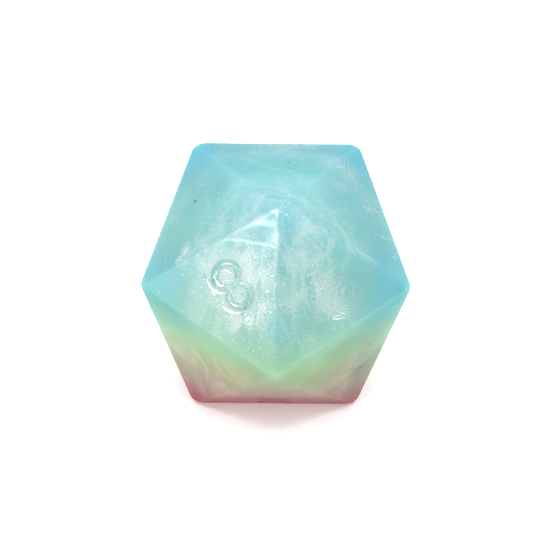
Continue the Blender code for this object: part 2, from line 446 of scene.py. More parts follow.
# Colours by level, of the pours, of the clear corners and of the pearly mica in them.
TINT_STOPS = (
    (-0.05, (235, 30, 62)),
    (0.01, (240, 94, 108)),
    (0.06, (208, 142, 138)),
    (0.12, (184, 162, 142)),
    (0.18, (174, 170, 142)),
    (0.24, (170, 186, 146)),
    (0.31, (170, 206, 158)),
    (0.38, (170, 224, 177)),
    (0.45, (160, 223, 190)),
    (0.52, (142, 215, 199)),
    (0.60, (137, 213, 206)),
    (0.80, (132, 213, 210)),
    (1.00, (118, 206, 212)),
)
CORNER_STOPS = (
    (-0.05, (200, 24, 56)),
    (0.08, (184, 84, 100)),
    (0.36, (150, 214, 168)),
    (0.50, (130, 212, 186)),
    (0.56, (112, 220, 213)),
    (0.66, (102, 214, 225)),
    (0.80, (88, 210, 236)),
    (1.00, (98, 208, 238)),
)
PEARL_STOPS = (
    (0.00, (212, 170, 160)),
    (0.12, (226, 200, 182)),
    (0.22, (214, 210, 158)),
    (0.40, (206, 234, 178)),
    (0.50, (204, 240, 216)),
    (0.65, (208, 240, 230)),
    (1.00, (210, 240, 240)),
)
# Pale clouds of mica near the surface: azimuth, elevation, the angles from there at which each starts to fade
# and ends, and its strength. The strong cloud in the middle of the front left face is partly a painted sheen.
CLOUDS = (
    (-88, 34, 22, 50, 0.65),
    (-110, 19, 3, 26, 1.0),
    (-66, 18, 3, 16, 0.7),
    (-70, 38, 4, 16, 1.0),
    (0, 62, 2, 14, 0.3),
    (28, 12, 8, 40, 0.7),
    (150, 8, 8, 42, 0.7),
    (90, 50, 6, 34, 0.7),
    (-131, -41, 4, 13, 0.7),
    (-49, -40, 3, 12, 0.6),
    (-134, -22, 4, 20, 0.5),
    (-115, -24, 2, 14, 0.7),
    (95, -25, 6, 36, 0.7),
)
# Bright mica close under the skin, given the same way: partly the mica's own pale colour, partly a painted
# sheen.
MICA_SHEEN = (
    (-120, 30, 2, 11, 0.45),
    (-110, 14, 2, 12, 1.0),
    (-99, 27, 2, 10, 0.7),
    (-106, 39, 1, 9, 0.9),
    (-108, 30, 1, 8, 0.8),
    (-101, 8, 1, 9, 0.9),
    (-139, 26, 1, 6, 0.9),
    (-68, 21, 1, 11, 0.42),
    (-76, 17, 1, 9, 0.45),
    (-58, 13, 1, 9, 0.3),
    (-72, 32, 1, 8, 0.35),
    (60, 15, 2, 16, 0.7),
    (170, 20, 2, 16, 0.7),
    (110, 40, 2, 12, 0.6),
)
MICA_SHEEN_TONE = (240, 255, 250)
# Patches of smoky rose that is partly painted shade, of painted shade, and of clear azure, given the same
# way.
SMOKE_AND_SHADE = (
    (-46, -20, 4, 24, 1.0),
    (-57, -10, 3, 14, 0.9),
    (170, -20, 6, 26, 1.0),
    (60, -12, 6, 24, 1.0),
)
SMOKE_AND_SHADE_TONE = (0.93, 0.78, 0.86)
SHADE = (
    (-34, -22, 4, 18, 1.0),
    (-33, -36, 4, 12, 0.7),
    (-30, 47, 3, 13, 0.5),
    (-40, -6, 4, 18, 1.0),
    (-60, -10, 3, 15, 0.8),
    (-142, -5, 4, 16, 0.4),
)
SHADE_TONE = (0.72, 0.89, 0.93)
AZURE = (
    (-84, 53, 2, 9, 0.55),
    (-81, 46, 1, 6, 0.25),
    (-90, 2, 1, 6, 0.4),
    (-148, 6, 2, 14, 0.5),
    (-32, 6, 2, 14, 0.5),
    (-16, 42, 4, 15, 0.35),
    (-24, 24, 4, 15, 0.45),
    (40, 60, 3, 14, 0.5),
    (100, 15, 3, 14, 0.5),
)
AZURE_TONE = (104, 206, 218)
# Pale threads in the resin: from point to point in millimetres about the centre, half width and strength.
THREADS = (
    ((-4.9, 2.6, 11.0), (-1.7, 0.1, 11.0), 0.22, 0.28),
    ((-1.7, 0.1, 11.0), (1.6, -1.6, 11.0), 0.22, 0.22),
    ((4.4, -4.7, 9.2), (5.4, -5.8, 8.0), 0.5, 0.3),
    ((5.4, -5.8, 8.0), (7.0, -6.6, 6.4), 0.55, 0.5),
    ((7.0, -6.6, 6.4), (8.5, -7.1, 5.0), 0.5, 0.65),
    ((8.5, -7.1, 5.0), (11.1, -6.6, 3.2), 0.40, 0.25),
    ((-7.2, -7.8, -3.0), (-6.2, -7.7, -5.1), 0.38, 0.8),
    ((-6.2, -7.7, -5.1), (-6.0, -7.3, -6.3), 0.46, 1.0),
    ((-6.0, -7.3, -6.3), (-5.9, -6.6, -7.9), 0.42, 1.0),
    ((-5.0, -9.6, -3.0), (-4.2, -9.8, -3.7), 0.40, 0.6),
    ((-4.2, -9.8, -3.7), (-3.3, -9.9, -5.0), 0.50, 0.8),
    ((-9.6, -8.2, 3.0), (-6.5, -6.8, 6.6), 0.5, 0.6),
    ((5.2, -9.2, 3.4), (6.2, -7.9, 5.7), 0.16, 0.8),
    ((5.8, -9.1, 3.1), (6.7, -7.9, 5.1), 0.14, 0.7),
    ((2.0, -9.8, 5.1), (3.4, -9.0, 5.7), 0.22, 0.9),
    ((3.2, -9.6, 4.5), (4.6, -8.4, 6.0), 0.22, 0.9),
    ((-1.2, -11.9, 0.7), (-0.7, -11.0, 3.6), 0.35, 0.7),
    ((-2.4, -11.3, 0.8), (-1.7, -10.6, 3.4), 0.40, 0.7),
)
# Clear streaks where the deeper teal shows, given the same way.
CLEAR_STREAKS = (
    ((-7.9, -2.0, 7.8), (-7.1, -0.7, 8.9), 0.30, 0.8),
    ((-6.1, -5.3, 7.7), (-4.3, -4.6, 9.4), 0.28, 0.8),
)
TEAL_TONE = (92, 196, 198)
# Ragged bends of the patches' edges, coarse then fine, and of the threads: scale, amount and detail.
PATCH_BENDS = ((130, 0.006, 2), (420, 0.0022, 4))
THREAD_BEND = (260, 0.0016, 3)

# Streaky patterns in the resin: the scale and amount of the bend, the share that the height is cut to, the
# scale, detail and roughness of the grain, and the values where the streaks start and are full.
SILK = (200, 0.004, 0.18, 700, 6, 0.65, 0.36, 0.64)
FLOW = (160, 0.003, 0.22, 1100, 7, 0.72, 0.42, 0.58)
MURK = (300, 0.003, 1, 260, 4, 0.5, 0.35, 0.6)
MIST = (350, 0.002, 1, 480, 6, 0.7, 0.3, 0.7)
# The least strength of the silk in the clouds, and the greatest of the mist, which lies everywhere.
SILK_FLOOR = 0.15
MIST_STRENGTH = 0.16

# Specks of mica as small as the eye can see, partly their own pale colour and partly painted glints: the
# scale of their cells, the share of cells lit where they are sparse and where they crowd, their least and
# greatest brightness, and their colours.
SHIMMER_CELLS = 14000
SHIMMER_SHARE = (0.004, 0.45)
SHIMMER_GLOW = (0.2, 1.0)
SHIMMER_TONES = (
    (0.0, (236, 255, 253)),
    (0.5, (200, 246, 250)),
    (0.75, (255, 236, 214)),
    (0.85, (205, 225, 255)),
)
# How the specks crowd in the clouds: two heights about the centre, and the shares there.
CLOUD_CROWD = (-0.004, 0.0, 0.15, 0.6)

# The clear corners: the shares of the corners' distance where they start and end, and how strong they are.
CLEAR_REACH = (0.81, 0.97)
CLEAR_STRENGTH = 0.9
# Corners near the plane x = 0 stay milky: the shares of the same distance from it, and the strength there.
CLEAR_ASIDE = (0.15, 0.55)
CLEAR_LEAST = 0.15

# The front left numeral: the cosines of the angles from its face's middle between which the painted highlight
# on its rims fades, how far its highlighted walls look up the face, and the shares of its depth between which
# the painted shade on its floor fades.
RIM_SPAN = (0.947, 0.958)
RIM_FACING = (0.1, 0.4)
FLOOR_DEPTHS = (0.8, 0.2)
FLOOR_SHADE_STRENGTH = 0.35
# The colour of the painted shade on that numeral's floor, and of the painted highlights on its rims and two
# edges.
NUMERAL_FLOOR_SHADE_TONE = (162, 230, 224)
PAINTED_HIGHLIGHT_TONE = (236, 255, 253)
# Painted highlights along edges, from corner towards corner: the share at which each ends, and its width in
# millimetres.
HIGHLIGHT_EDGES = (("TF", "UL", 0.40, 0.14), ("TF", "LF", 0.42, 0.12))
# The highlighted edge's distance as a share of the sharp one's, its softness sideways, and where it starts to
# fade.
HIGHLIGHT_EDGE_DEPTH = 0.985
HIGHLIGHT_EDGE_BLUR = 0.0001
HIGHLIGHT_EDGE_FADE = 0.7

# The pearly liquid: the scale, detail and amount of its bend, its streaks and its clouds.
SWIRL_BEND = (120, 2, 0.012)
SWIRL_HEIGHT = 0.25
SWIRL_STREAKS = (420, 5, 0.62)
SWIRL_CLOUDS = 170
SILK_TONES = ((0.30, (170, 225, 228)), (0.55, (228, 242, 238)), (0.72, (254, 254, 252)))
CLOUD_TONES = ((0.35, (190, 232, 235)), (0.5, (240, 246, 240)), (0.65, (225, 240, 248)))
LIQUID_HAZE = 0.38
LOW_TONE = (205, 214, 165)
LOW_STRENGTH = 0.7
# The shell all but vanishes in the resin around it.
SHELL_IOR = 1.03
# The colours of glitter flakes, each from the chance given up to the next one's.
FLAKE_TONES = (
    (0.0, (255, 255, 255)),
    (0.40, (225, 250, 250)),
    (0.58, (255, 234, 214)),
    (0.74, (190, 230, 255)),
    (0.88, (255, 224, 228)),
)
# The colours of the dark specks, and of the pale nicks and the ridges that paint highlights.
SPECK_TONES = ((20, 66, 70), (36, 86, 88))
NICK_AND_HIGHLIGHT_TONES = ((225, 248, 246), (250, 255, 254))
# The scale of the grain of specks and nicks, of the shell and of the table.
FINE_GRAIN, SHELL_GRAIN, TABLE_GRAIN = 4000, 300, 900
# The table's linear colours, and how much it glows so that it stays white.
TABLE_TONES = ((0.90, 0.90, 0.90), (0.92, 0.92, 0.92))
TABLE_GLOW = 0.26


def direction(azimuth, elevation):
    azimuth, elevation = math.radians(azimuth), math.radians(elevation)
    flat = math.cos(elevation)
    return Vector((flat * math.cos(azimuth), flat * math.sin(azimuth), math.sin(elevation)))


def coloured(stops):
    return tuple((place, srgb(*colour)) for place, colour in stops)


def streaks(g, outward, pattern, low=0.0, high=1.0, smooth=True):
    """A streaky pattern that runs from low to high."""
    bend, amount, share, scale, detail, rough, start, full = pattern
    bent = g.drawn_out(g.wobble(outward, bend, amount), share)
    return g.range(g.noise(bent, scale, detail, rough), start, full, low, high, smooth=smooth)


def patch_mask(g, outward, patches):
    """Each patch's strength inside it and 0 outside, with ragged edges."""
    ragged = outward
    for bend in PATCH_BENDS:
        ragged = g.wobble(ragged, *bend)
    ragged = g.vector("NORMALIZE", ragged)
    masks = []
    for azimuth, elevation, inner, outer, strength in patches:
        near = g.vector("DOT_PRODUCT", ragged, tuple(direction(azimuth, elevation)))
        edges = (math.cos(math.radians(outer)), math.cos(math.radians(inner)))
        masks.append(g.range(near, *edges, 0.0, strength, smooth=True))
    return g.highest(masks)


def along_line(g, point, first, last):
    """The point's share of the way along a line, and its distance from the line."""
    along = last - first
    offset = g.vector("SUBTRACT", point, tuple(first))
    share = g.range(g.vector("DOT_PRODUCT", offset, tuple(along / along.length_squared)), 0, 1)
    return share, g.vector("DISTANCE", offset, g.scaled(tuple(along), share))


def thread_mask(g, outward, threads):
    """Each thread's strength along it. A thread is the space near a straight line between two points."""
    bent = g.wobble(outward, *THREAD_BEND)
    masks = []
    for first, last, half, strength in threads:
        _, away = along_line(g, bent, Vector(first) * MILLIMETRE, Vector(last) * MILLIMETRE)
        masks.append(g.range(away, 0, half * MILLIMETRE, strength, 0.0, smooth=True))
    return g.highest(masks)


def worn_mask(g, outward):
    """1 along the edges with a painted highlight, fading away from the corner where each starts."""
    masks = []
    for name, toward, end, width in HIGHLIGHT_EDGES:
        share, away = along_line(g, outward, CORNERS[name] * HIGHLIGHT_EDGE_DEPTH, CORNERS[toward] * HIGHLIGHT_EDGE_DEPTH)
        width *= MILLIMETRE
        beside = g.range(away, width / 2, width + HIGHLIGHT_EDGE_BLUR, 1.0, 0.0)
        before = g.range(share, end * HIGHLIGHT_EDGE_FADE, end, 1.0, 0.0, smooth=True)
        masks.append(g.math("MULTIPLY", beside, before))
    return g.highest(masks)


def shimmer(g, outward, crowd):
    """The specks of mica as small as the eye can see, partly painted glints: how bright each is, and its
    pastel colour.
    """
    cells = g.node("ShaderNodeTexVoronoi")
    g.link(outward, cells.inputs["Vector"])
    cells.inputs["Scale"].default_value = SHIMMER_CELLS
    chance, hue, strength = g.xyz(cells.outputs["Color"])
    lit = g.math("LESS_THAN", chance, g.range(crowd, 0, 1, *SHIMMER_SHARE))
    glow = g.math("MULTIPLY", lit, g.range(strength, 0, 1, *SHIMMER_GLOW))
    return glow, g.ramp(hue, coloured(SHIMMER_TONES), mode="CONSTANT")


def numeral_masks(g, outward):
    """The painted highlight on the front left numeral's walls that look up the face, and painted shade on its
    floor.
    """
    heading = g.vector("NORMALIZE", outward)
    near = g.range(g.vector("DOT_PRODUCT", heading, tuple(FRONT_NORMAL)), *RIM_SPAN)
    true_normal = g.node("ShaderNodeNewGeometry").outputs["True Normal"]
    facing = g.range(g.vector("DOT_PRODUCT", true_normal, tuple(FRONT_RISE)), *RIM_FACING)
    out = g.vector("DOT_PRODUCT", outward, tuple(FRONT_NORMAL))
    levels = (HEIGHT / 2 - depth * NUMERAL_DEPTH for depth in FLOOR_DEPTHS)
    floor_shade = g.range(out, *levels, FLOOR_SHADE_STRENGTH, 0.0)
    return g.math("MULTIPLY", facing, near), g.math("MULTIPLY", floor_shade, near)


def reach(g, outward, low, high):
    """How far out the point lies along the furthest face whose normal climbs between low and high."""
    facing = [normal for normal in FACE_NORMALS if low < normal.z < high]
    return g.highest([g.vector("DOT_PRODUCT", outward, tuple(normal)) for normal in facing])


def colour_level(g, outward):
    """Where a point falls on the run of colours: 0 at the die's base and 1 at its top, bent by its faces."""
    x, _, z = g.xyz(outward)
    height = g.range(z, -HEIGHT / 2, HEIGHT / 2)
    upper, lower, lowest = (reach(g, outward, *span) for span in (UPPER_FACES, LOWER_FACES, LOW_FACES))
    girdle = g.math("SUBTRACT", upper, lower)
    girdle = g.range(girdle, -STEP_BLUR, STEP_BLUR, -GIRDLE_STEP / 2, GIRDLE_STEP / 2, smooth=True)
    base = g.math("SUBTRACT", lowest, g.math("MAXIMUM", lower, upper))
    base = g.range(base, -STEP_BLUR, STEP_BLUR, 0.0, -LOW_STEP, smooth=True)
    slope = g.range(x, -CIRCUMRADIUS, CIRCUMRADIUS, -TILT, TILT)
    drift = g.range(g.noise(outward, DRIFT_SCALE, detail=2), 0.3, 0.7, -DRIFT, DRIFT)
    steps = g.math("ADD", girdle, base)
    return g.math("ADD", g.math("ADD", height, steps), g.math("ADD", slope, drift))


def level_ramp(g, level, stops):
    low, high = LEVELS
    spread = (((place - low) / (high - low), colour) for place, colour in stops)
    return g.ramp(g.range(level, low, high), coloured(spread))


def multiplied(g, colour, tone):
    return g.mix(1.0, colour, tone, blend="MULTIPLY")


def clear_corners(g, outward):
    """High at the corners far from the plane x = 0, where the resin is clear."""
    start, end = (share * CIRCUMRADIUS for share in CLEAR_REACH)
    cornering = g.range(g.vector("LENGTH", outward), start, end, 0.0, CLEAR_STRENGTH, smooth=True)
    start, end = (share * CIRCUMRADIUS for share in CLEAR_ASIDE)
    aside = g.math("ABSOLUTE", g.xyz(outward)[0])
    return g.math("MULTIPLY", cornering, g.range(aside, start, end, CLEAR_LEAST, 1.0, smooth=True))


def resin_colour(g, outward):
    """The layered colour of the pours, with pale silky clouds and strong corners, painted sheen, glints,
    highlights and shade.
    """
    level = colour_level(g, outward)
    tint, corner, pearl = (level_ramp(g, level, stops) for stops in (TINT_STOPS, CORNER_STOPS, PEARL_STOPS))
    silk = streaks(g, outward, SILK, low=SILK_FLOOR)
    pale = g.math("MULTIPLY", patch_mask(g, outward, CLOUDS), silk)
    pale = g.math("MAXIMUM", pale, thread_mask(g, outward, THREADS))
    tint = g.mix(pale, tint, pearl)
    # Smoky rose that is partly painted shade, then patches of painted shade.
    smoke_and_shade = g.math("MULTIPLY", patch_mask(g, outward, SMOKE_AND_SHADE), streaks(g, outward, MURK, smooth=False))
    tint = g.mix(smoke_and_shade, tint, multiplied(g, tint, SMOKE_AND_SHADE_TONE))
    tint = g.mix(patch_mask(g, outward, SHADE), tint, multiplied(g, tint, SHADE_TONE))
    tint = g.mix(patch_mask(g, outward, AZURE), tint, srgb(*AZURE_TONE))
    tint = g.mix(thread_mask(g, outward, CLEAR_STREAKS), tint, srgb(*TEAL_TONE))
    # Bright mica, partly its own pale colour and partly a painted sheen.
    mica = g.math("MULTIPLY", patch_mask(g, outward, MICA_SHEEN), streaks(g, outward, FLOW))
    tint = g.mix(mica, tint, srgb(*MICA_SHEEN_TONE))
    tint = g.mix(streaks(g, outward, MIST, high=MIST_STRENGTH, smooth=False), tint, pearl)
    # Specks of mica, partly their own pale colour and partly painted glints.
    crowd = g.math("MULTIPLY", pale, g.range(g.xyz(outward)[2], *CLOUD_CROWD))
    painted_glint, pastel = shimmer(g, outward, g.math("MAXIMUM", mica, crowd))
    tint = g.mix(painted_glint, tint, pastel)
    tint = g.mix(clear_corners(g, outward), tint, corner)
    # Painted highlights on the front left numeral's rims and along two edges, and painted shade on its floor.
    rim_highlight, floor_shade = numeral_masks(g, outward)
    tint = g.mix(floor_shade, tint, srgb(*NUMERAL_FLOOR_SHADE_TONE))
    painted_highlight = g.math("MAXIMUM", rim_highlight, worn_mask(g, outward))
    return g.mix(painted_highlight, tint, srgb(*PAINTED_HIGHLIGHT_TONE))


def soft_normal(g, outward):
    """The normal leaned towards the direction out of the centre, so that milky resin shades softly."""
    mixed = g.node("ShaderNodeMix", data_type="VECTOR")
    start, end = (share * CIRCUMRADIUS for share in ROUND_CORNERS)
    g.link(g.range(g.vector("LENGTH", outward), start, end, ROUNDNESS, 1.0), mixed.inputs["Factor"])
    g.link(g.node("ShaderNodeNewGeometry").outputs["Normal"], mixed.inputs[4])
    g.link(g.vector("NORMALIZE", outward), mixed.inputs[5])
    return mixed.outputs[1]


def resin_material():
    g = Graph("layered_resin")
    outward = g.vector("SUBTRACT", g.position(), tuple(CENTRE))
    g.link(resin_colour(g, outward), g.shader.inputs["Base Color"])
    g.link(soft_normal(g, outward), g.shader.inputs["Normal"])
    g.shader.inputs["Transmission Weight"].default_value = CLARITY
    g.shader.inputs["Roughness"].default_value = HAZE
    g.shader.inputs["IOR"].default_value = RESIN_IOR
    g.shader.inputs["Specular IOR Level"].default_value = 0.1
    g.shader.inputs["Subsurface Weight"].default_value = 1.0
    g.shader.inputs["Subsurface Radius"].default_value = (0.8, 1.0, 1.0)
    g.shader.inputs["Subsurface Scale"].default_value = BLEED
    up = g.xyz(g.node("ShaderNodeTexCoord").outputs["Normal"])[2]
    coat = g.math("MULTIPLY", g.range(up, *LOW_GLOSS), g.range(up, *TOP_GLOSS))
    facing = g.node("ShaderNodeLayerWeight").outputs["Facing"]
    coat = g.math("MULTIPLY", coat, g.range(facing, *GLANCING_GLOSS))
    g.link(coat, g.shader.inputs["Coat Weight"])
    g.shader.inputs["Coat Roughness"].default_value = 0.02
    g.shader.inputs["Coat IOR"].default_value = RESIN_IOR
    return g.material


def pearl_material():
    g = Graph("pearl_liquid_swirl")
    position = g.position()
    height = g.xyz(position)[2]
    scale, detail, amount = SWIRL_BEND
    warp = g.node("ShaderNodeTexNoise")
    g.link(position, warp.inputs["Vector"])
    warp.inputs["Scale"].default_value = scale
    warp.inputs["Detail"].default_value = detail
    bent = g.mix(amount, position, warp.outputs["Color"], blend="ADD")
    silk = g.noise(g.drawn_out(bent, SWIRL_HEIGHT), *SWIRL_STREAKS)
    cloud = g.noise(bent, SWIRL_CLOUDS)
    pale = g.ramp(silk, coloured(SILK_TONES))
    tone = g.ramp(cloud, coloured(CLOUD_TONES))
    colour = g.mix(0.5, pale, tone)
    low = g.range(height, CENTRE.z - LIQUID_RADIUS, CENTRE.z, 1.0, 0.0, smooth=True)
    colour = g.mix(g.math("MULTIPLY", low, LOW_STRENGTH), colour, srgb(*LOW_TONE))
    g.link(colour, g.shader.inputs["Base Color"])
    g.shader.inputs["Roughness"].default_value = LIQUID_HAZE
    return g.material


def shell_material():
    g = Graph("clear_core_shell")
    cloudy = g.noise(g.position(), SHELL_GRAIN)
    g.link(g.range(cloudy, 0, 1, 0.02, 0.08), g.shader.inputs["Roughness"])
    g.shader.inputs["Base Color"].default_value = (0.93, 0.98, 0.98, 1)
    g.shader.inputs["Transmission Weight"].default_value = 1.0
    g.shader.inputs["IOR"].default_value = SHELL_IOR
    return g.material


def flake_material():
    g = Graph("glitter_flake")
    chance = g.node("ShaderNodeNewGeometry").outputs["Random Per Island"]
    g.link(g.ramp(chance, coloured(FLAKE_TONES), mode="CONSTANT"), g.shader.inputs["Base Color"])
    g.shader.inputs["Metallic"].default_value = 1.0
    g.shader.inputs["Roughness"].default_value = 0.25
    return g.material


def grained_material(name, tones, roughness):
    """Opaque, with a fine grain between two colours."""
    g = Graph(name)
    dark, light = (srgb(*tone) for tone in tones)
    colour = g.ramp(g.noise(g.position(), FINE_GRAIN), ((0.3, dark), (0.7, light)))
    g.link(colour, g.shader.inputs["Base Color"])
    g.shader.inputs["Roughness"].default_value = roughness
    return g.material


def floor_material():
    g = Graph("white_table")
    grain = g.noise(g.position(), TABLE_GRAIN, detail=2)
    g.link(g.ramp(grain, ((0.0, TABLE_TONES[0]), (1.0, TABLE_TONES[1]))), g.shader.inputs["Base Color"])
    g.shader.inputs["Roughness"].default_value = 0.7
    g.shader.inputs["Emission Color"].default_value = (1, 1, 1, 1)
    g.shader.inputs["Emission Strength"].default_value = TABLE_GLOW
    return g.material


# ------------------------ the core


def make_liquid():
    """The pearly liquid: a ball, flat on top under its air bubble."""
    bm = bmesh.new()
    bmesh.ops.create_icosphere(bm, subdivisions=LIQUID_SUBDIVISIONS, radius=LIQUID_RADIUS)
    for vert in bm.verts:
        vert.co.z = min(vert.co.z, LIQUID_LEVEL)
    bmesh.ops.translate(bm, vec=CENTRE, verts=bm.verts)
    ball = add_object("pearl_swirl", mesh_from(bm, "pearl_swirl"))
    ball.data.shade_smooth()
    return ball


# ------------------------ glitter


FLAKE_SIDES = 6
FLAKE_THICKNESS = 0.000010


def add_flake(bm, place, normal, radius, spin):
    """A thin six-sided plate."""
    across = normal.orthogonal().normalized()
    along = normal.cross(across)
    rings = []
    for side in (-0.5, 0.5):
        ring = []
        for step in range(FLAKE_SIDES):
            angle = spin + 2 * math.pi / FLAKE_SIDES * step
            offset = across * math.cos(angle) + along * math.sin(angle)
            ring.append(bm.verts.new(place + radius * offset + normal * FLAKE_THICKNESS * side))
        rings.append(ring)
    low, high = rings
    bm.faces.new(reversed(low))
    bm.faces.new(high)
    for step in range(FLAKE_SIDES):
        after = (step + 1) % FLAKE_SIDES
        bm.faces.new((low[step], low[after], high[after], high[step]))


def random_direction(rng):
    z = rng.uniform(-1, 1)
    angle = rng.uniform(0, 2 * math.pi)
    flat = math.sqrt(1 - z * z)
    return Vector((flat * math.cos(angle), flat * math.sin(angle), z))


# Where glitter gathers: azimuth, elevation, spread, how many flakes, and how much larger than usual.
GLITTER = (
    (-120, 17, 9, 700, 1.0),
    (-107, 24, 9, 600, 1.0),
    (-102, 9, 8, 400, 1.0),
    (-100, 36, 6, 250, 1.0),
    (-68, 19, 6, 700, 1.0),
    (-58, 10, 6, 250, 1.0),
    (-10, 40, 7, 300, 1.0),
    (5, 61, 3, 160, 1.6),
    (-4, 50, 3, 160, 1.5),
    (-13, 43, 3, 160, 1.5),
    (-22, 31, 3, 110, 1.4),
    (-26, 22, 3, 80, 1.3),
    (-68, 21, 5, 60, 2.0),
    (-111, 24, 8, 100, 1.5),
    (2, 60, 5, 200, 1.0),
    (-19, 28, 4, 160, 1.0),
    (-90, 15, 10, 400, 1.0),
    (-90, 25, 22, 700, 1.0),
    (70, 15, 12, 900, 1.0),
    (160, 10, 14, 900, 1.0),
    (110, -20, 14, 600, 1.0),
    (-110, -15, 14, 90, 1.0),
    (-165, 36, 4, 160, 1.0),
    (-150, 24, 4, 120, 1.0),
    (-140, 26, 3, 160, 1.0),
)
# More flakes, sprinkled all over.
SPRINKLED = 1500
# No flakes lie this near the outermost corners.
FLAKE_MARGIN = 0.0003
FLAKE_RADII = (0.000008, 0.000010, 0.000013, 0.000016, 0.000022)
LARGE_FLAKE = 0.000032
LARGE_FLAKE_CHANCE = 0.015
# The most that a flake leans out of the skin.
FLAKE_LEAN = 0.2
# Flakes lie in drifts, where the noise is over a chance value: its scale, its offset and the chance's range.
DRIFT_FINENESS = 9
DRIFT_OFFSET = Vector((3, 1, 7))
DRIFT_CHANCE = (-0.5, 0.1)
GLITTER_SEED = 20
# How far out rays start on their way to the skin.
RAY_START = 1.2 * CIRCUMRADIUS


def skin_of(body):
    return BVHTree.FromObject(body, bpy.context.evaluated_depsgraph_get())


def bent_direction(rng, azimuth, elevation, spread):
    """A direction near the given one, spread about it by a normal distribution."""
    middle = direction(azimuth, elevation)
    across = middle.orthogonal().normalized()
    along = middle.cross(across)
    turn = rng.uniform(0, 2 * math.pi)
    away = math.radians(abs(rng.gauss(0, spread)))
    side = across * math.cos(turn) + along * math.sin(turn)
    return middle * math.cos(away) + side * math.sin(away)


def make_glitter(body):
    """Flakes laid in the skin, gathered in drifts."""
    rng = random.Random(GLITTER_SEED)
    skin = skin_of(body)
    bm = bmesh.new()
    aims = [(patch[:3], patch[4]) for patch in GLITTER for _ in range(patch[3])]
    aims += [(None, 1.0)] * SPRINKLED
    for patch, enlarged in aims:
        heading = bent_direction(rng, *patch) if patch else random_direction(rng)
        if noise.noise(heading * DRIFT_FINENESS + DRIFT_OFFSET) < rng.uniform(*DRIFT_CHANCE):
            continue
        place, normal, _, _ = skin.ray_cast(CENTRE + heading * RAY_START, -heading)
        if place is None or abs(place.x) > CAD_BOX[1][0] - FLAKE_MARGIN:
            continue
        radius = enlarged * rng.choice(FLAKE_RADII)
        if rng.random() < LARGE_FLAKE_CHANCE:
            radius = LARGE_FLAKE
        tilt = (normal + random_direction(rng) * rng.uniform(0.0, FLAKE_LEAN)).normalized()
        add_flake(bm, place, tilt, radius, rng.uniform(0, 1))
    return add_object("resin_glitter", mesh_from(bm, "resin_glitter"))


# ------------------------ specks, nicks and painted highlight arcs


# Tiny dark specks in the resin: azimuth, elevation, radius in millimetres.
SPECKS = ((25, 84, 0.09), (-164, 48.6, 0.12), (-31, 57.3, 0.10), (40, 10, 0.07), (120, -15, 0.06))
SPECK_SPIN = 0.3
# Short pale nicks in the skin: azimuth, elevation, length in millimetres, lean.
NICKS = (
    (-61.5, 6.2, 1.3, 0),
    (-61.0, 7.4, 1.3, -4),
    (-59.8, 8.4, 1.1, -10),
    (-63.4, 7.0, 0.5, 16),
    (-84.5, 55.0, 0.12, 0),
    (-84.0, 51.5, 0.28, 25),
    (-173.7, 55.0, 0.14, 0),
)
# A nick's half width as a share of half its length, its least, and that of a nick so short that it is a dot.
NICK_SHARE = 0.06
NICK_LEAST = 0.00003
DOT_LENGTH = 0.3
DOT_WIDTH = 0.00005

# Pale ridges about the bowls of the front left numeral that paint highlights on its walls: the bowl's middle
# to the right and up the face, the arc's radius and its half width, all in millimetres, the bearing of its
# middle and the angle that it spans.
HIGHLIGHT_ARCS = (
    ((-0.05, 1.38), 1.41, 0.09, 206, 104),
    ((-0.06, 1.30), 0.72, 0.11, 205, 80),
    ((0.45, 1.35), 0.97, 0.04, 67, 76),
    ((2.95, 3.50), 3.00, 0.05, 220.5, 18),
    ((0.17, -0.62), 1.41, 0.10, 226, 80),
    ((0.24, -0.71), 0.75, 0.05, 220, 80),
)
HIGHLIGHT_ARC_STEPS = 24
# How far out the rays start that find the skin under a highlight arc, as a share of the face's distance.
HIGHLIGHT_ARC_RAY = 1.1
RIDGE_HEIGHT = 0.00001


def skin_point(skin, azimuth, elevation):
    heading = direction(azimuth, elevation)
    place, normal, _, _ = skin.ray_cast(CENTRE + heading * RAY_START, -heading)
    return place, normal


def make_specks(body):
    skin = skin_of(body)
    bm = bmesh.new()
    for azimuth, elevation, radius in SPECKS:
        place, normal = skin_point(skin, azimuth, elevation)
        add_flake(bm, place, normal, radius * MILLIMETRE, SPECK_SPIN)
    return add_object("trapped_specks", mesh_from(bm, "trapped_specks"))


def add_ridge(bm, stations):
    """A low ridge, pointed at both ends. A station has a place, a normal, a side and a half width."""
    first, *middle, last = stations
    rings = []
    for place, normal, across, half in middle:
        offsets = (across * half, normal * RIDGE_HEIGHT, across * -half, normal * -RIDGE_HEIGHT)
        rings.append([bm.verts.new(place + offset) for offset in offsets])
    start, end = bm.verts.new(first[0]), bm.verts.new(last[0])
    for step in range(4):
        after = (step + 1) % 4
        bm.faces.new((start, rings[0][step], rings[0][after]))
        bm.faces.new((end, rings[-1][after], rings[-1][step]))
        for ring, following in zip(rings, rings[1:]):
            bm.faces.new((ring[after], ring[step], following[step], following[after]))


def add_nick(bm, skin, azimuth, elevation, length, lean):
    place, normal = skin_point(skin, azimuth, elevation)
    level = Vector((0, 0, 1)).cross(normal).normalized()
    rise = normal.cross(level)
    along = level * math.cos(math.radians(lean)) + rise * math.sin(math.radians(lean))
    half = length * MILLIMETRE / 2
    width = max(NICK_LEAST, half * NICK_SHARE) if length > DOT_LENGTH else DOT_WIDTH
    across = normal.cross(along)
    add_ridge(bm, [(place + along * half * share, normal, across, width) for share in (-1, 0, 1)])


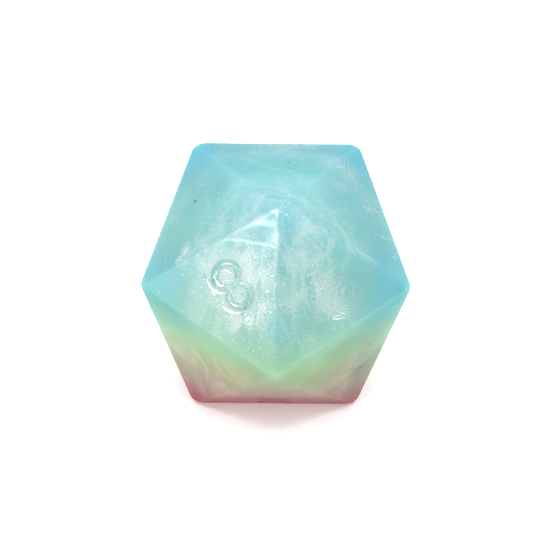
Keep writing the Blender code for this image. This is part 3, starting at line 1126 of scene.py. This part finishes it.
# A pale ridge in an arc about a bowl of the 8, which paints a highlight on the numeral's wall.
def add_burr(bm, skin, centre, radius, half, bearing, span):
    bowl = (FRONT_ASIDE * centre[0] + FRONT_RISE * centre[1]) * MILLIMETRE
    above = CENTRE + FRONT_MIDDLE * HIGHLIGHT_ARC_RAY + bowl
    stations = []
    for step in range(HIGHLIGHT_ARC_STEPS + 1):
        angle = math.radians(bearing + span * (step / HIGHLIGHT_ARC_STEPS - 0.5))
        heading = FRONT_ASIDE * math.cos(angle) + FRONT_RISE * math.sin(angle)
        place = skin.ray_cast(above + heading * radius * MILLIMETRE, -FRONT_NORMAL)[0]
        width = half * MILLIMETRE * math.sin(math.pi * step / HIGHLIGHT_ARC_STEPS)
        stations.append((place, FRONT_NORMAL, heading, width))
    add_ridge(bm, stations)


def make_nicks(body):
    """Short nicks in the skin, and pale ridges along a numeral that paint highlights."""
    skin = skin_of(body)
    bm = bmesh.new()
    for nick in NICKS:
        add_nick(bm, skin, *nick)
    for highlight_arc in HIGHLIGHT_ARCS:
        add_burr(bm, skin, *highlight_arc)
    bmesh.ops.recalc_face_normals(bm, faces=bm.faces)
    return add_object("skin_nicks", mesh_from(bm, "skin_nicks"))


# ------------------------ stage, light and camera


# The table's reach to each side, and its gap under the die.
TABLE_REACH = 0.6
TABLE_SEGMENTS = 8
TABLE_GAP = 0.00001

# The camera looks from the front. Its shift is to its right and upwards, its roll is anticlockwise, and its
# lens and sensor are in millimetres.
CAMERA_ELEVATION = 28.97
CAMERA_DISTANCE = 15.864 * EDGE
CAMERA_SHIFT = (-0.0562 * EDGE, 0.0481 * EDGE)
CAMERA_ROLL = 0.556
CAMERA_LENS = 174.35
CAMERA_SENSOR = 36
CAMERA_CLIP = 0.01

# Softboxes: azimuth, elevation, distance, size and radiance.
SOFTBOXES = {
    "front_top_strobe": (268, 56, 0.35, (0.05, 0.05), 25.0),
    "overhead_softbox": (90, 80, 0.60, (0.90, 0.90), 1.8),
}

# The front light, in strips. Their mirror images lie across the top corner of the front left face.
GLARE_DISTANCE = 0.30
GLARE_WIDTH = 0.08
# Each strip: where its mirror image starts and ends down the face, and its radiance.
GLARE_STRIPS = (
    (-1.0, 1.3, 2.7),
    (1.3, 2.8, 2.8),
    (2.8, 3.4, 2.1),
    (3.4, 3.9, 1.6),
    (3.9, 4.4, 1.1),
    (-1.0, 0.10, 8.0),
    (0.34, 0.50, 9.0),
    (0.99, 1.03, 11.0),
)
# One unit down the face, as a share of its left edge and of its right edge.
GLARE_LEFT = 0.36
GLARE_DOWN = 0.22


def make_stage():
    bm = bmesh.new()
    bmesh.ops.create_grid(bm, x_segments=TABLE_SEGMENTS, y_segments=TABLE_SEGMENTS, size=TABLE_REACH)
    bmesh.ops.translate(bm, vec=(0, 0, CAD_BOX[0][2] - TABLE_GAP), verts=bm.verts)
    floor = add_object("floor", mesh_from(bm, "floor"))
    floor.data.materials.append(floor_material())


def camera_place():
    """The camera's place, and its turn without the roll."""
    elevation = math.radians(CAMERA_ELEVATION)
    back = Vector((0, -math.cos(elevation), math.sin(elevation)))
    right = Vector((1, 0, 0))
    up = back.cross(right)
    place = CENTRE + back * CAMERA_DISTANCE + right * CAMERA_SHIFT[0] + up * CAMERA_SHIFT[1]
    return place, Matrix((right, up, back)).transposed()


def area_light(name, middle, across, up, size, radiance):
    """A rectangular light with its sides along across and up. It shines against their cross product."""
    data = bpy.data.lights.new(name, "AREA")
    data.shape = "RECTANGLE"
    data.size, data.size_y = size
    data.energy = radiance * math.pi * size[0] * size[1]
    light = bpy.data.objects.new(name, data)
    bpy.context.scene.collection.objects.link(light)
    across, up = across.normalized(), up.normalized()
    up = (up - across * up.dot(across)).normalized()
    turn = Matrix((across, up, across.cross(up))).transposed().to_4x4()
    light.matrix_world = Matrix.Translation(middle) @ turn


def softbox(name, azimuth, elevation, distance, size, radiance):
    """An area light that looks at the die's centre."""
    away = direction(azimuth, elevation)
    across = direction(azimuth + 90, 0)
    area_light(name, CENTRE + away * distance, across, away.cross(across), size, radiance)


def make_glare():
    """A banded softbox whose mirror image fills the top corner of the front left face."""
    apex, left, low = (CENTRE + CORNERS[name] for name in ("TF", "UL", "LF"))
    eye = camera_place()[0]

    def seen(point):
        """The place that the camera sees mirrored at a point of the face."""
        ray = (point - eye).normalized()
        ray -= 2 * ray.dot(FRONT_NORMAL) * FRONT_NORMAL
        return point + ray * GLARE_DISTANCE

    for index, (start, end, radiance) in enumerate(GLARE_STRIPS):
        ends = []
        for share in (start, end):
            first = seen(apex + (left - apex) * GLARE_LEFT * share)
            last = seen(apex + (low - apex) * GLARE_DOWN * share)
            ends.append((first, last))
        (start_left, start_right), (end_left, end_right) = ends
        across = (end_right - end_left).normalized()
        rise = (start_left + start_right - end_left - end_right) / 2
        rise -= across * rise.dot(across)
        middle = (end_left + end_right) / 2 + rise / 2
        toward = (CENTRE - middle).normalized()
        if across.cross(rise).dot(toward) > 0:
            across = -across
        area_light(f"front_glare_{index}", middle, across, rise, (GLARE_WIDTH, rise.length), radiance)


def make_lights():
    world = bpy.data.worlds.new("light_tent")
    world.use_nodes = True
    background = world.node_tree.nodes["Background"]
    background.inputs["Color"].default_value = (1, 1, 1, 1)
    background.inputs["Strength"].default_value = 1.0
    bpy.context.scene.world = world
    make_glare()
    for name, settings in SOFTBOXES.items():
        softbox(name, *settings)


def make_camera():
    place, turn = camera_place()
    data = bpy.data.cameras.new("camera")
    data.lens = CAMERA_LENS
    data.sensor_width = CAMERA_SENSOR
    data.clip_start = CAMERA_CLIP
    camera = bpy.data.objects.new("camera", data)
    bpy.context.scene.collection.objects.link(camera)
    roll = Matrix.Rotation(math.radians(CAMERA_ROLL), 3, "Z")
    camera.matrix_world = Matrix.Translation(place) @ (turn @ roll).to_4x4()
    bpy.context.scene.camera = camera
    bpy.context.scene.view_settings.view_transform = "Standard"


# ------------------------ the scene


def main():
    make_camera()
    make_lights()
    make_stage()

    body = make_resin_body()
    body.data.materials.append(resin_material())
    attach(body, "die")
    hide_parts(*POURS)

    swirl = make_liquid()
    swirl.data.materials.append(pearl_material())
    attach(swirl, "liquid")
    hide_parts("mica_liquid")

    glitter = make_glitter(body)
    glitter.data.materials.append(flake_material())
    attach(glitter, "die")

    specks = make_specks(body)
    specks.data.materials.append(grained_material("dark_speck", SPECK_TONES, 0.5))
    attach(specks, "die")

    # Pale nicks, and pale ridges that paint highlights about the 8.
    nicks_and_highlight_arcs = make_nicks(body)
    nicks_and_highlight_arcs.data.materials.append(grained_material("pale_nick_and_highlight", NICK_AND_HIGHLIGHT_TONES, 0.4))
    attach(nicks_and_highlight_arcs, "die")

    shell = shell_material()
    for name in ("core_shell_lower", "core_shell_upper", "fill_plug"):
        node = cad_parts[name]
        node.data.materials.clear()
        node.data.materials.append(shell)


main()
